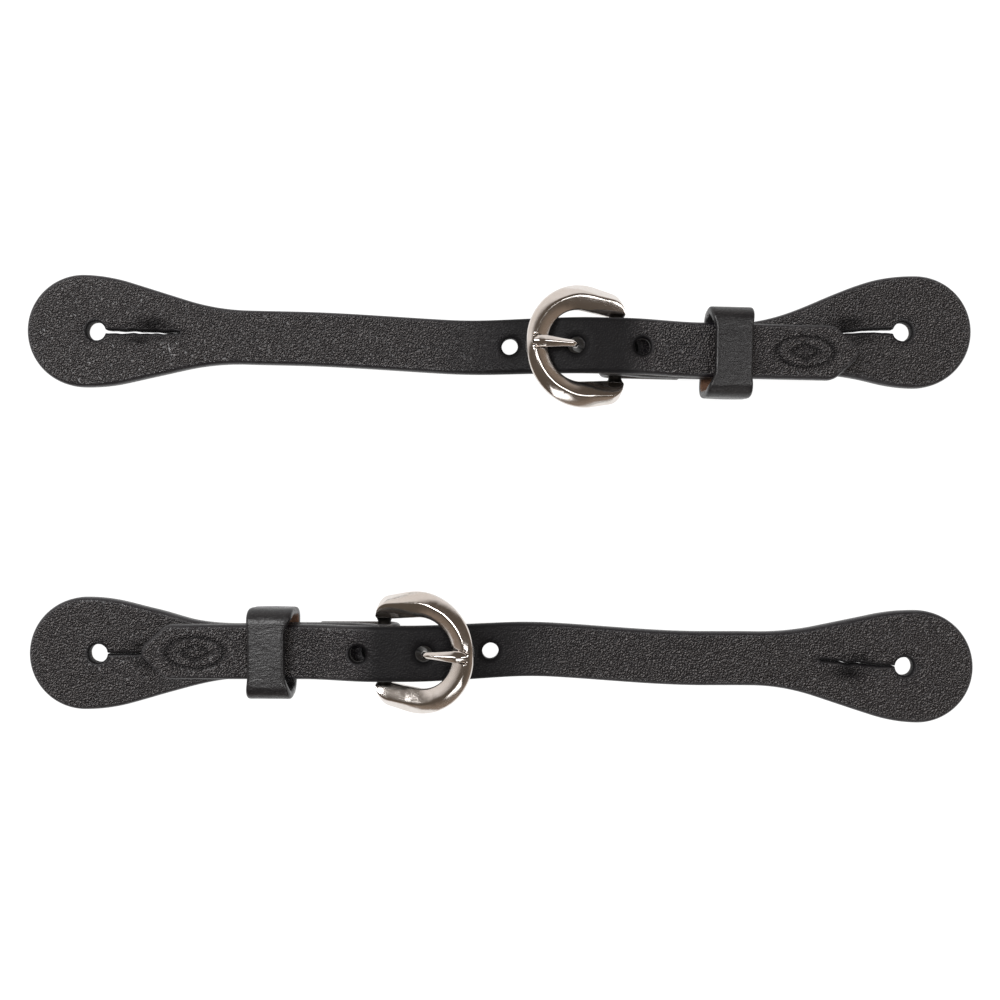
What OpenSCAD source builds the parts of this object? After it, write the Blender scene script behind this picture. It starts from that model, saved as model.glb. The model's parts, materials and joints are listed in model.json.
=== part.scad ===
// A pair of leather spur straps, buckled, lying on a table (z = 0).
// Each strap is modelled in its own frame: the heel bar of the buckle runs along Y through x = 0,
// the chape strap runs to +X, the billet strap runs to -X and its pointed tip to +X.

/* [Leather] */
// Width of both straps
strap_w = 16; // [15:0.5:17]
// Thickness of the billet and the chape
leather_t = 3; // [2.8:0.1:3.1]
// Thickness of the chape where it folds round the heel bar
fold_t = 2.8; // [2.7:0.1:2.9]
// Thickness of the turnback under the chape
turnback_t = 2.5; // [2.4:0.1:2.6]
// Length of the turnback past the heel bar
turnback_len = 20; // [19:0.5:21]

/* [Paddle ends] */
// Radius of the round end of a paddle
paddle_r = 16.7; // [16:0.1:18]
// Radius of the shoulder between the round end and the neck
shoulder_r = 52; // [40:1:60]
// Slope of each side of the neck, in degrees
neck_angle = 15; // [13:1:18]
// Radius of the hollow where the neck meets the strap
neck_r = 70; // [50:1:80]
// Radius of a button hole
button_r = 2.8; // [2.5:0.1:3.5]
// How far a button hole lies from the paddle's centre, towards the strap
button_inset = 3.8; // [3:0.1:5]
// Length of the slit beyond the button hole
slit_len = 22.5; // [15:0.5:26]
// Width of the slit
slit_w = 0.5; // [0.3:0.1:0.8]

/* [Billet] */
// From the heel bar to the paddle end of the billet
billet_len = 174.7; // [165:0.5:185]
// From the heel bar to the pointed tip of the billet
tip_reach = 70.5; // [68:0.5:72]
// Slope of each side of the point, in degrees
tip_angle = 43; // [38:1:50]
// Radius of the point
tip_r = 3; // [2:0.5:4]
// Radius of the two shoulders behind the point
tip_shoulder_r = 5; // [3:0.5:6]
// Distance between adjusting holes
hole_pitch = 19.05; // [18:0.05:20]
// Radius of an adjusting hole
hole_r = 2.4; // [2.3:0.05:2.6]
// From the heel bar back to the hole that holds the tongue
tongue_hole = 12.1; // [12:0.1:12.3]
// Where the stamped oval lies, from the heel bar
stamp_x = 54.6; // [53:0.5:56]
// Half length of the stamped oval
stamp_a = 9; // [7:0.5:9]
// Half width of the stamped oval
stamp_b = 4.8; // [4:0.2:5.4]
// Depth of the stamped oval
stamp_depth = 0.35; // [0.2:0.05:0.5]

/* [Chape] */
// From the heel bar to the paddle end of the chape
chape_len = 106; // [105:0.5:112]
// Width of the tongue slot in the fold
slot_w = 4.2; // [4:0.1:4.6]
// How far the tongue slot reaches past the heel bar
slot_reach = 5.7; // [5:0.1:6.5]
// Distance between stitch holes
stitch_pitch = 2.4; // [2.2:0.1:2.6]
// Number of stitch holes in a row
stitch_holes = 4; // [2:1:4]

/* [Buckle] */
// Radius of the heel bar
bar_r = 1.9; // [1.8:0.05:2]
// Outer radius of the bow
bow_r = 17.7; // [17.2:0.1:18.2]
// From the heel bar to the front of the bow, along the frame
bow_reach = 28.4; // [28:0.1:28.8]
// Width of the bow at its front
bow_front_w = 6.2; // [6:0.1:6.4]
// Half width of the opening
opening_r = 10.3; // [10:0.1:10.6]
// Half width of the opening at the heel bar
opening_heel = 9.2; // [9:0.1:9.6]
// Height of the ridge above the underside of the frame
frame_h = 3.8; // [3.6:0.1:4]
// Height of the heel bar's centre above the underside of the frame
frame_low = 1.7; // [1.6:0.1:1.8]
// Radius of the two heel corners
heel_corner_r = 4.5; // [4:0.1:5]
// Half width of the frame at its heel
heel_half_w = 16.3; // [16:0.1:16.6]
// Thickness of the tongue
tongue_t = 2; // [1.8:0.1:2.1]
// Width of the tongue where it passes through the leather
tongue_w = 2.2; // [2:0.1:2.4]
// Width of the tongue near its tip
tongue_tip_w = 3.4; // [3:0.1:3.6]

/* [Keeper] */
// Length of the keeper along the strap
keeper_len = 12.7; // [11:0.1:13.5]
// Inside width of the keeper
keeper_w = 21.6; // [21.4:0.1:23]
// Inside height of the keeper
keeper_h = 7.8; // [7.8:0.1:8.5]
// Thickness of the keeper leather
keeper_t = 2.2; // [2:0.1:2.3]
// From the heel bar to the keeper
keeper_x = 26; // [25:0.5:28]

/* [Pair on the table] */
// Distance of each heel bar from the middle, along the straps
bar_x = 34; // [30:1:40]
// Distance of the left heel bar from the middle, across the straps
left_y = 44.3; // [40:0.1:60]
// Distance of the right heel bar from the middle, across the straps
right_y = 44.2; // [40:0.1:60]
// Turn of the left strap on the table, in degrees
left_yaw = -1.3; // [-3:0.1:3]
// Sideways drift of the left billet in its middle
left_billet_sway = 1.7; // [0:0.1:3]
// Further sideways drift of the left billet's paddle
left_billet_drift = 0.8; // [0:0.1:3]
// Sideways drift of the right billet in its middle
right_billet_sway = 3; // [0:0.1:3]
// Further sideways drift of the right billet's paddle
right_billet_drift = 2.4; // [0:0.1:3]
// Sideways drift of the left chape's paddle
left_chape_drift = 7.7; // [0:0.1:8]
// Sideways drift of the right chape's paddle
right_chape_drift = 1.4; // [0:0.1:8]
// Sideways place of the left keeper
left_keeper_y = -0.7; // [-0.9:0.1:-0.5]
// Sideways place of the right keeper
right_keeper_y = 0.3; // [0:0.1:0.5]

/* [Hidden] */

$fn = 64;
eps = 0.5;                 // overlap of cutting tools
bar_gap = 0.05;            // running clearance round the heel bar
rest_gap = 0.05;           // gap between pieces that rest on each other
layer_gap = 0.1;           // crease between the chape and its turnback
leather = "#1d1b1c";
nickel = "#c9c4bd";
thread = "#2a2622";
steel = "#a8a8a8";

// Heights
half_w = strap_w / 2;
fold_r = bar_r + bar_gap + fold_t;
bar_z = fold_r;
chape_z = turnback_t + layer_gap;
billet_low_z = chape_z + leather_t + rest_gap;
billet_high_z = bar_z + fold_r + rest_gap;

// Places along the billet, from the toe of its rise to the end of its descent
rise_toe = -50;
crest_start = -6;
crest_end = 2;
descent_end = 24;

// Places along the chape
chape_drop_start = 54;
chape_drop_end = 68;
drift_start = 28;
drift_end = 78;
sway_start = -35;
sway_end = -95;
billet_drift_start = -105;
billet_drift_end = -160;

// The layers leave the fold at this angle round the heel bar
leave_angle = 65;

// 0 to 1 along a soft S between a and b
function s_curve(x, a, b) =
    let (u = min(max((x - a) / (b - a), 0), 1)) u * u * (3 - 2 * u);

// Points of an arc in a plane
function arc(c, r, a0, a1, n) =
    [for (i = [0:n]) let (a = a0 + (a1 - a0) * i / n) c + r * [cos(a), sin(a)]];

// Underside of the billet and of the chape, by distance from the heel bar
function billet_z(x) = x < crest_start
    ? billet_high_z * s_curve(x, rise_toe, crest_start)
    : billet_high_z + (billet_low_z - billet_high_z) * s_curve(x, crest_end, descent_end);
function chape_under_z(x) = chape_z * (1 - s_curve(x, chape_drop_start, chape_drop_end));

// Sideways drift of each strap's centre line
function billet_y(x, drift) = drift[0] * s_curve(x, sway_start, sway_end)
    + drift[1] * s_curve(x, billet_drift_start, billet_drift_end);
function chape_y(x, drift) = drift * s_curve(x, drift_start, drift_end);

// One side of a paddle, as [distance inwards from the paddle's centre, half width] pairs:
// the round end, the shoulder, the straight neck and the hollow that meets the strap
neck_straight = (paddle_r - half_w - (shoulder_r + neck_r) * (1 - cos(neck_angle)))
    / sin(neck_angle);
neck_top = [shoulder_r * sin(neck_angle), paddle_r - shoulder_r * (1 - cos(neck_angle))];
neck_foot = neck_top + neck_straight * [cos(neck_angle), -sin(neck_angle)];
neck_end = neck_foot[0] + neck_r * sin(neck_angle);
paddle_side = concat(
    arc([0, 0], paddle_r, 180, 90, 24),
    arc([0, paddle_r - shoulder_r], shoulder_r, 90 - neck_angle * 0.2, 90 - neck_angle, 5),
    arc([neck_end, half_w + neck_r], neck_r, 270 - neck_angle, 270, 8)
);

// One side of the pointed tip, from its shoulder to the point
tip_turn = 90 - tip_angle;
tip_drop = half_w - tip_shoulder_r * (1 - cos(tip_angle)) - tip_r * cos(tip_angle);
tip_run = tip_shoulder_r * sin(tip_angle) + tip_drop / tan(tip_angle) - tip_r * sin(tip_angle);
tip_centre = tip_reach - tip_r;
tip_side = concat(
    arc([tip_centre - tip_run, half_w - tip_shoulder_r], tip_shoulder_r, 90, tip_turn, 6),
    arc([tip_centre, 0], tip_r, tip_turn, 0, 6)
);

billet_paddle_x = paddle_r - billet_len;
chape_paddle_x = chape_len - paddle_r;
billet_button_x = billet_paddle_x + button_inset;
chape_button_x = chape_paddle_x - button_inset;

billet_side = concat(
    [for (p = paddle_side) [billet_paddle_x + p[0], p[1]]],
    [for (i = [0:6]) [sway_end + (sway_start - sway_end) * i / 6, half_w]],
    tip_side
);
chape_side = concat(
    [[-fold_r - 1, half_w], [drift_start, half_w]],
    [for (i = [len(paddle_side) - 1:-1:0]) [chape_paddle_x - paddle_side[i][0], paddle_side[i][1]]]
);

// Buckle: the frame is tilted about the heel bar until its bow rests on the edges of the billet,
// where the opening is as wide as the billet
bow_centre = bow_r - bow_reach;
bow_inner = bow_reach - bow_front_w;
ridge_r = 14.2;            // radius of the ridge along the bow
heel_end = 2.3;            // the frame ends this far behind the heel bar's centre
relief = 1.2;              // the underside is hollowed this much along the inner edge
relief_r = 14;             // the hollow runs out at this radius
rest_at = [opening_r - bow_inner - sqrt(pow(opening_r, 2) - pow(half_w, 2)), relief - frame_low];
lean = 22;                 // a near value of the tilt, to find the billet's height there
rest_height = billet_z(rest_at[0] * cos(lean)) + leather_t + rest_gap - bar_z;
frame_tilt = asin(rest_height / norm(rest_at)) + atan2(-rest_at[1], -rest_at[0]);

// Tongue: below and inside the hole its centre line is the involute of a circle round the heel
// bar, so it stays square to the billet while the billet slides and the tongue swings
eye_r = 3.1;
tongue_h = billet_z(-tongue_hole) + leather_t / 2 - bar_z;
billet_travel = 8;         // the tongue stays square to the billet over this much slide
swing = billet_travel / tongue_h * 180 / PI;
knee_r = 1.6;
knee_z = 7.3;
ridge_x = bow_centre - ridge_r;
ridge_z = frame_h - frame_low;
notch_d = 0.8;             // depth of the tongue's notch below the ridge
notch_in = 1.1;            // the notch starts this far inside the ridge
notch_gap = 0.2;           // room beside the tongue in its notch
notch_z = ridge_z * cos(frame_tilt) - ridge_x * sin(frame_tilt) - notch_d;
rest_x = ridge_x * cos(frame_tilt) + ridge_z * sin(frame_tilt) + notch_in;
rest_z = notch_z + rest_gap + tongue_t / 2;
knee_angle = 90 - atan2(rest_z - knee_z - knee_r, -rest_x - tongue_hole - knee_r);
tip_overhang = 3.6;
tip_rise = 0.1;
tongue_root = [-2.2, -0.4];

// Point of the involute that is square to the billet after the tongue has swung by angle a
function tongue_point(a) =
    let (x = -tongue_hole + tongue_h * a * PI / 180)
    [x * cos(a) - tongue_h * sin(a), x * sin(a) + tongue_h * cos(a)];

tongue_path = concat(
    [tongue_root],
    [for (i = [8:-1:0]) tongue_point(swing * i / 8)],
    arc([-tongue_hole - knee_r, knee_z], knee_r, 0, knee_angle, 6),
    [[rest_x, rest_z], [rest_x - tip_overhang, rest_z + tip_rise]]
);

// A band of even thickness along a path
function path_normal(p, i) =
    let (d = p[min(i + 1, len(p) - 1)] - p[max(i - 1, 0)]) [-d[1], d[0]] / norm(d);
function band(p, t) = concat(
    [for (i = [0:len(p) - 1]) p[i] + path_normal(p, i) * t / 2],
    [for (i = [len(p) - 1:-1:0]) p[i] - path_normal(p, i) * t / 2]
);

// A flat shape in the XZ plane, given thickness along Y
module across(w) {
    rotate([90, 0, 0]) linear_extrude(w, center = true) children();
}

// Plan outline from one side's [x, half width] pairs; each module sets its own drift
module billet_plan(drift) {
    polygon(concat(
        [for (p = billet_side) [p[0], billet_y(p[0], drift) + p[1]]],
        [for (i = [len(billet_side) - 1:-1:0])
            [billet_side[i][0], billet_y(billet_side[i][0], drift) - billet_side[i][1]]]
    ));
}

module chape_plan(drift) {
    polygon(concat(
        [for (p = chape_side) [p[0], chape_y(p[0], drift) + p[1]]],
        [for (i = [len(chape_side) - 1:-1:0])
            [chape_side[i][0], chape_y(chape_side[i][0], drift) - chape_side[i][1]]]
    ));
}

// A thin slit from a button hole towards the strap
module slit(x0, y0, x1, y1) {
    translate([0, 0, -eps]) linear_extrude(leather_t + 2 * eps) polygon([
        [x0, y0 - slit_w / 2], [x1, y1 - slit_w / 2],
        [x1, y1 + slit_w / 2], [x0, y0 + slit_w / 2]
    ]);
}

module upright_hole(x, y, r) {
    translate([x, y, -eps]) cylinder(r = r, h = 20);
}

// The stamp: a plain oval line with a lozenge in it
module stamp() {
    z = billet_low_z + leather_t - stamp_depth;
    line_w = 0.7;
    translate([stamp_x, 0, z]) linear_extrude(1) difference() {
        polygon([for (i = [0:35]) [stamp_a * cos(i * 10), stamp_b * sin(i * 10)]]);
        polygon([for (i = [0:35])
            [(stamp_a - line_w) * cos(i * 10), (stamp_b - line_w) * sin(i * 10)]]);
    }
    translate([stamp_x, 0, z]) linear_extrude(1)
        polygon([[stamp_a / 2, 0], [0, stamp_b / 2], [-stamp_a / 2, 0], [0, -stamp_b / 2]]);
}

module billet(drift) {
    xs = concat(
        [-billet_len - 1],
        [for (i = [0:14]) rise_toe + (crest_start - rise_toe) * i / 14],
        [for (i = [0:10]) crest_end + (descent_end - crest_end) * i / 10],
        [tip_reach + 1]
    );
    button_y = billet_y(billet_button_x, drift);
    slit_end = billet_button_x + button_r + slit_len;
    color(leather) difference() {
        intersection() {
            linear_extrude(40) billet_plan(drift);
            across(4 * paddle_r) polygon(concat(
                [for (x = xs) [x, billet_z(x)]],
                [for (i = [len(xs) - 1:-1:0]) [xs[i], billet_z(xs[i]) + leather_t]]
            ));
        }
        upright_hole(billet_button_x, button_y, button_r);
        slit(billet_button_x, button_y, slit_end, billet_y(slit_end, drift));
        for (i = [-1:1]) upright_hole(i * hole_pitch - tongue_hole, 0, hole_r);
        stamp();
    }
}

// Side view of the chape: turnback, fold, and the layer that runs on to the paddle
module chape_profile() {
    bar = [0, bar_z];
    leave = [cos(leave_angle), sin(leave_angle)];
    slope = tan(90 - leave_angle);
    outer = bar + fold_r * leave;
    inner = bar + (fold_r - fold_t) * leave;
    top_z = chape_z + leather_t;
    drop = [for (i = [0:8]) chape_drop_start + (chape_drop_end - chape_drop_start) * i / 8];
    polygon(concat(
        [bar, [0, fold_t], [2 * fold_r, turnback_t], [turnback_len, turnback_t]],
        [[turnback_len, 0]],
        arc(bar, fold_r, 270, leave_angle, 32),
        [[outer[0] + (outer[1] - top_z) / slope, top_z]],
        [for (x = drop) [x, chape_under_z(x) + leather_t]],
        [[chape_len + 1, leather_t], [chape_len + 1, 0]],
        [for (i = [len(drop) - 1:-1:0]) [drop[i], chape_under_z(drop[i])]],
        [[inner[0] + (inner[1] - chape_z) / slope, chape_z], inner]
    ));
}

// Stitching: two rows beside the tongue slot, sunk in a groove on both faces
stitch_y = half_w - 2.1;
stitch_x = 11;
stitch_r = 0.3;
stitch_low = 0.45;
stitch_high = chape_z + leather_t - 0.45;
stitch_end = stitch_x + (stitch_holes - 1) * stitch_pitch;

module stitch_row(r, reach) {
    for (i = [0:stitch_holes - 1])
        translate([stitch_x + i * stitch_pitch, 0, stitch_low])
            cylinder(r = r, h = stitch_high - stitch_low, $fn = 24);
    for (z = [stitch_low, stitch_high])
        translate([stitch_x - reach, 0, z]) rotate([0, 90, 0])
            cylinder(r = r, h = stitch_end - stitch_x + 2 * reach, $fn = 24);
}

module stitching() {
    color(thread)
        for (y = [-stitch_y, stitch_y]) translate([0, y, 0]) stitch_row(stitch_r, 0.2);
}

module stitch_cut(y) {
    groove = stitch_r + 0.1;
    translate([0, y, 0]) stitch_row(groove, groove);
    for (z = [-eps, stitch_high])
        translate([stitch_x - groove, y - groove, z])
            cube([stitch_end - stitch_x + 2 * groove, 2 * groove, stitch_low + eps]);
}

module chape(drift) {
    button_y = chape_y(chape_button_x, drift);
    slit_end = chape_button_x - button_r - slit_len;
    slot_end = slot_reach - slot_w / 2;
    color(leather) difference() {
        intersection() {
            translate([0, 0, -1]) linear_extrude(40) chape_plan(drift);
            across(4 * paddle_r) chape_profile();
        }
        translate([0, 0, bar_z]) rotate([90, 0, 0])
            cylinder(r = bar_r + bar_gap, h = 2 * strap_w, center = true);
        upright_hole(chape_button_x, button_y, button_r);
        slit(chape_button_x, button_y, slit_end, chape_y(slit_end, drift));
        translate([-fold_r - 1, -slot_w / 2, -eps]) cube([fold_r + 1 + slot_end, slot_w, 20]);
        translate([slot_end, 0, -eps]) cylinder(r = slot_w / 2, h = 20);
        for (y = [-stitch_y, stitch_y]) stitch_cut(y);
    }
}

// Plan of the frame, flat, with the heel bar's centre at the origin
module frame_plan() {
    corner = [heel_end - heel_corner_r, heel_half_w - heel_corner_r];
    across = corner - [bow_centre, 0];
    tangent = atan2(across[1], across[0]) + acos((bow_r - heel_corner_r) / norm(across));
    side = concat(
        arc([bow_centre, 0], bow_r, 180, tangent, 48),
        arc(corner, heel_corner_r, tangent, 0, 16)
    );
    difference() {
        polygon(concat(side, [for (i = [len(side) - 1:-1:1]) [side[i][0], -side[i][1]]]));
        translate([opening_r - bow_inner, 0]) circle(opening_r);
        polygon([
            [opening_r - bow_inner, opening_r], [0, opening_heel], [heel_end + 1, opening_heel],
            [heel_end + 1, -opening_heel], [0, -opening_heel], [opening_r - bow_inner, -opening_r]
        ]);
    }
}

module frame() {
    rim = 0.8;
    flank_r = 19.4;
    bar_into = 0.8;
    dish_r = 9;
    dish_z = 2;
    color(nickel) translate([0, 0, bar_z]) difference() {
        rotate([0, frame_tilt, 0]) {
            translate([0, 0, -frame_low]) intersection() {
                linear_extrude(frame_h + 1) frame_plan();
                translate([bow_centre, 0, 0]) rotate_extrude($fn = 128) polygon([
                    [0, relief], [bow_inner + bow_centre, relief], [relief_r, 0],
                    [flank_r - rim, 0], [flank_r, rim], [flank_r, 2 * rim],
                    [ridge_r, frame_h], [dish_r, dish_z], [0, dish_z]
                ]);
            }
            rotate([90, 0, 0])
                cylinder(r = bar_r, h = 2 * (opening_heel + bar_into), center = true);
        }
        translate([-bow_reach - 1, -tongue_tip_w / 2 - notch_gap, notch_z])
            cube([2 * bow_front_w, tongue_tip_w + 2 * notch_gap, 3]);
    }
}

module tongue() {
    eye_w = slot_w - 0.6;
    tip_x = rest_x - tip_overhang;
    taper_x = -tongue_hole - tongue_t;
    tip_cut = 1.2;
    tip_end = 0.6;
    color(nickel) translate([0, 0, bar_z]) difference() {
        union() {
            rotate([90, 0, 0]) cylinder(r = eye_r, h = eye_w, center = true);
            intersection() {
                across(eye_w) polygon(band(tongue_path, tongue_t));
                translate([0, 0, -20]) linear_extrude(60) polygon([
                    [0, tongue_w / 2], [taper_x, tongue_w / 2],
                    [rest_x + 1, tongue_tip_w / 2], [tip_x + tip_cut, tongue_tip_w / 2],
                    [tip_x, tip_end], [tip_x, -tip_end],
                    [tip_x + tip_cut, -tongue_tip_w / 2], [rest_x + 1, -tongue_tip_w / 2],
                    [taper_x, -tongue_w / 2], [0, -tongue_w / 2]
                ]);
            }
        }
        rotate([90, 0, 0]) cylinder(r = bar_r + bar_gap, h = slot_w, center = true);
    }
}

// A rectangle with round corners
module rounded(w, h, r) {
    square([w - 2 * r, h], center = true);
    square([w, h - 2 * r], center = true);
    for (x = [-1, 1], y = [-1, 1])
        translate([x * (w / 2 - r), y * (h / 2 - r)]) circle(r);
}

// Keeper staples: two wire staples across the butt joint in the bottom of the loop
staple_len = 8;
staple_r = 0.35;
staple_z = 0.5;
staple_rise = 1.2;
staple_places = [0.28, 0.72]; // along the keeper, as shares of its length
seam_gap = 0.15;

module staple(r, extra) {
    rotate([90, 0, 0]) cylinder(r = r, h = staple_len + 2 * extra, center = true, $fn = 24);
    for (s = [-1, 1])
        translate([0, s * (staple_len / 2 - staple_r), 0])
            cylinder(r = r, h = staple_rise + extra, $fn = 24);
}

module staples(y) {
    color(steel) for (x = staple_places)
        translate([keeper_x + x * keeper_len, y, staple_z]) staple(staple_r, 0);
}

module keeper(y) {
    corner_r = 4;
    clear = 0.08;
    color(leather) difference() {
        translate([keeper_x, y, keeper_t + keeper_h / 2]) rotate([90, 0, 90])
            linear_extrude(keeper_len) difference() {
                rounded(keeper_w + 2 * keeper_t, keeper_h + 2 * keeper_t, corner_r);
                rounded(keeper_w, keeper_h, corner_r - keeper_t);
            }
        translate([keeper_x - 1, y - seam_gap / 2, -1])
            cube([keeper_len + 2, seam_gap, keeper_t + 2]);
        for (x = staple_places) translate([keeper_x + x * keeper_len, y, staple_z]) {
            staple(staple_r + clear, clear);
            translate([-staple_r - clear, -staple_len / 2 - clear, -1])
                cube([2 * (staple_r + clear), staple_len + 2 * clear, 1]);
        }
    }
}

// The two straps lie side by side, the right one turned half a turn
module left() {
    translate([bar_x, left_y, 0]) rotate([0, 0, left_yaw]) children();
}

module right() {
    translate([-bar_x, -right_y, 0]) rotate([0, 0, 180]) children();
}

module left_billet_strap() { left() billet([left_billet_sway, left_billet_drift]); }
module left_chape_strap() { left() chape(left_chape_drift); }
module left_buckle_frame() { left() frame(); }
module left_buckle_tongue() { left() tongue(); }
module left_keeper_loop() { left() keeper(left_keeper_y); }
module left_chape_stitching() { left() stitching(); }
module left_keeper_staples() { left() staples(left_keeper_y); }
module right_billet_strap() { right() billet([right_billet_sway, right_billet_drift]); }
module right_chape_strap() { right() chape(right_chape_drift); }
module right_buckle_frame() { right() frame(); }
module right_buckle_tongue() { right() tongue(); }
module right_keeper_loop() { right() keeper(right_keeper_y); }
module right_chape_stitching() { right() stitching(); }
module right_keeper_staples() { right() staples(right_keeper_y); }

left_billet_strap();
left_chape_strap();
left_buckle_frame();
left_buckle_tongue();
left_keeper_loop();
left_chape_stitching();
left_keeper_staples();
right_billet_strap();
right_chape_strap();
right_buckle_frame();
right_buckle_tongue();
right_keeper_loop();
right_chape_stitching();
right_keeper_staples();
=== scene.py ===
import json
import math
import bpy
import numpy as np
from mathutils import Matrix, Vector, geometry, noise


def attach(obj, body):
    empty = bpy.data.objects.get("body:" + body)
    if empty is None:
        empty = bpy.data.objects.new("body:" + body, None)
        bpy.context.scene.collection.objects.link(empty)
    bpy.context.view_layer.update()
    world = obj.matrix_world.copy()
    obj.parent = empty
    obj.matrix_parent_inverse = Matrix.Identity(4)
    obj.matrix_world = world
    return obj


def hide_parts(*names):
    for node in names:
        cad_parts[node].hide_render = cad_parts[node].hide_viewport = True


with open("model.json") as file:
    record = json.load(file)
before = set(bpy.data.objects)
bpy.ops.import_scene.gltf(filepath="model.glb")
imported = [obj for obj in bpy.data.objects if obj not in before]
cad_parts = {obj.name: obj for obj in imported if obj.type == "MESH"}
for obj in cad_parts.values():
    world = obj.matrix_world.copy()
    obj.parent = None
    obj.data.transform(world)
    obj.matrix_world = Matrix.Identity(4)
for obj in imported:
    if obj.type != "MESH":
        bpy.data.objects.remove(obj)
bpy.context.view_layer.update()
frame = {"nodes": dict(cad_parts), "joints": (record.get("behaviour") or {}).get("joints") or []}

# ---- sizes, in mm, as in the CAD
# both straps
HALF_W = 8.0
LEATHER_T = 3.0
PADDLE_R = 16.7
SHOULDER_R = 52.0
NECK_ANGLE = 15.0
NECK_R = 70.0
BUTTON_R = 2.8
BUTTON_INSET = 3.8
SLIT_LEN = 22.5

# billet, the long strap
BILLET_LEN = 174.7
TIP_REACH = 70.5
TIP_ANGLE = 43.0
TIP_R = 3.0
TIP_SHOULDER_R = 5.0
HOLE_PITCH = 19.05
HOLE_R = 2.4
TONGUE_HOLE = 12.1
STAMP_X, STAMP_A, STAMP_B = 54.6, 9.0, 4.8
BILLET_LOW = 5.65
BILLET_HIGH = 9.55

# chape, the short strap, folded round the heel bar
CHAPE_LEN = 106.0
SLOT_W = 4.2
SLOT_REACH = 5.7
FOLD_T = 2.8
TURNBACK_T = 2.5
TURNBACK_LEN = 20.0
BAR_R = 1.9
BAR_Z = 4.75
FOLD_R = 4.75
CHAPE_Z = 2.6
LEAVE_ANGLE = 65.0

# buckle frame
TILT = math.radians(21.7387)
BOW_R = 17.7
BOW_X = -10.7
BOW_INNER = 22.2
OPENING_R = 10.3
OPENING_HEEL = 9.2
FRAME_H = 3.8
FRAME_LOW = 1.7
HEEL_END = 2.3
HEEL_CORNER_R = 4.5
HEEL_CORNER = (-2.2, 11.8)
HEEL_TANGENT = 78.8

# tongue and the notch it rests in
NOTCH_Z = 10.373
NOTCH_END = -24.6
REST = (-21.2514, 11.423)
TONGUE_H = 5.80024
TONGUE_TRAVEL = 8.0
KNEE_R = 1.6
KNEE_Z = 7.3
KNEE_ANGLE = 71.5251
TIP_OVERHANG = 3.2

# where the straps rise, fall and bend in plan: (from, to) along x
BILLET_RISE = (-50, -6)
BILLET_FALL = (2, 24)
BILLET_SWAY = (-35, -95)
BILLET_DRIFT = (-105, -160)
CHAPE_DRIFT = (28, 78)
CHAPE_FALL = (54, 68)

# keeper: near end, size along the straps, inner width and height, thickness
KEEPER = {"x": 26.0, "length": 12.7, "w": 21.6, "h": 7.8, "t": 2.2}

# billet_drift is the sideways shift of the two bends of the billet
SIDES = {
    "left": {"billet_drift": (1.7, 0.8), "chape_drift": 7.7, "keeper_y": -0.7, "seed": 11.0},
    "right": {"billet_drift": (3.0, 2.4), "chape_drift": 1.4, "keeper_y": 0.3, "seed": 47.0},
}
JOINTS = {j["name"]: j for j in frame["joints"]}


# ---- small tools
def s_curve(x, a, b):
    """Rises smoothly from 0 at a to 1 at b."""
    u = np.clip((np.asarray(x, float) - a) / (b - a), 0, 1)
    return u * u * (3 - 2 * u)


def bell(x, reach):
    return np.exp(-(x / reach) ** 2)


def billet_under(x):
    x = np.asarray(x, float)
    rise = BILLET_HIGH * s_curve(x, *BILLET_RISE)
    fall = BILLET_HIGH + (BILLET_LOW - BILLET_HIGH) * s_curve(x, *BILLET_FALL)
    return np.where(x < BILLET_RISE[1], rise, fall)


def billet_drift(side, x):
    sway, drift = SIDES[side]["billet_drift"]
    return sway * s_curve(x, *BILLET_SWAY) + drift * s_curve(x, *BILLET_DRIFT)


def to_world(side, points):
    """Strap-local mm to row-frame metres, from the joints of the CAD."""
    bar = JOINTS[side + "_frame_pivot"]["pos_m"]
    c, s = JOINTS[side + "_billet_slide"]["axis"][:2]
    p = np.asarray(points, float) / 1000
    x = bar[0] + c * p[:, 0] - s * p[:, 1]
    y = bar[1] + s * p[:, 0] + c * p[:, 1]
    return np.stack([x, y, p[:, 2]], 1)


def arc(cx, cy, r, a0, a1, n):
    a = np.radians(np.linspace(a0, a1, n + 1))
    return np.stack([cx + r * np.cos(a), cy + r * np.sin(a)], 1)


def resample(loop, step):
    """Even spacing round a closed loop."""
    p = np.vstack([loop, loop[:1]])
    d = np.r_[0, np.cumsum(np.linalg.norm(np.diff(p, axis=0), axis=1))]
    n = max(8, int(round(d[-1] / step)))
    t = np.linspace(0, d[-1], n, endpoint=False)
    return np.stack([np.interp(t, d, p[:, 0]), np.interp(t, d, p[:, 1])], 1)


def resample_open(line, count):
    d = np.r_[0, np.cumsum(np.linalg.norm(np.diff(line, axis=0), axis=1))]
    t = np.linspace(0, d[-1], count)
    return np.stack([np.interp(t, d, line[:, k]) for k in range(line.shape[1])], 1)


def soften(loop):
    """Cuts the corners of a closed loop twice."""
    for _ in range(2):
        nxt = np.roll(loop, -1, 0)
        loop = np.stack([0.75 * loop + 0.25 * nxt, 0.25 * loop + 0.75 * nxt], 1).reshape(-1, 2)
    return loop


def area(loop):
    nxt = np.roll(loop, -1, 0)
    return 0.5 * np.sum(loop[:, 0] * nxt[:, 1] - nxt[:, 0] * loop[:, 1])


def oriented(loop, ccw):
    return loop if (area(loop) > 0) == ccw else loop[::-1]


def inward(loop):
    """Unit normals to the left of travel."""
    d = np.roll(loop, -1, 0) - np.roll(loop, 1, 0)
    d /= np.linalg.norm(d, axis=1)[:, None] + 1e-12
    return np.stack([-d[:, 1], d[:, 0]], 1)


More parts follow.
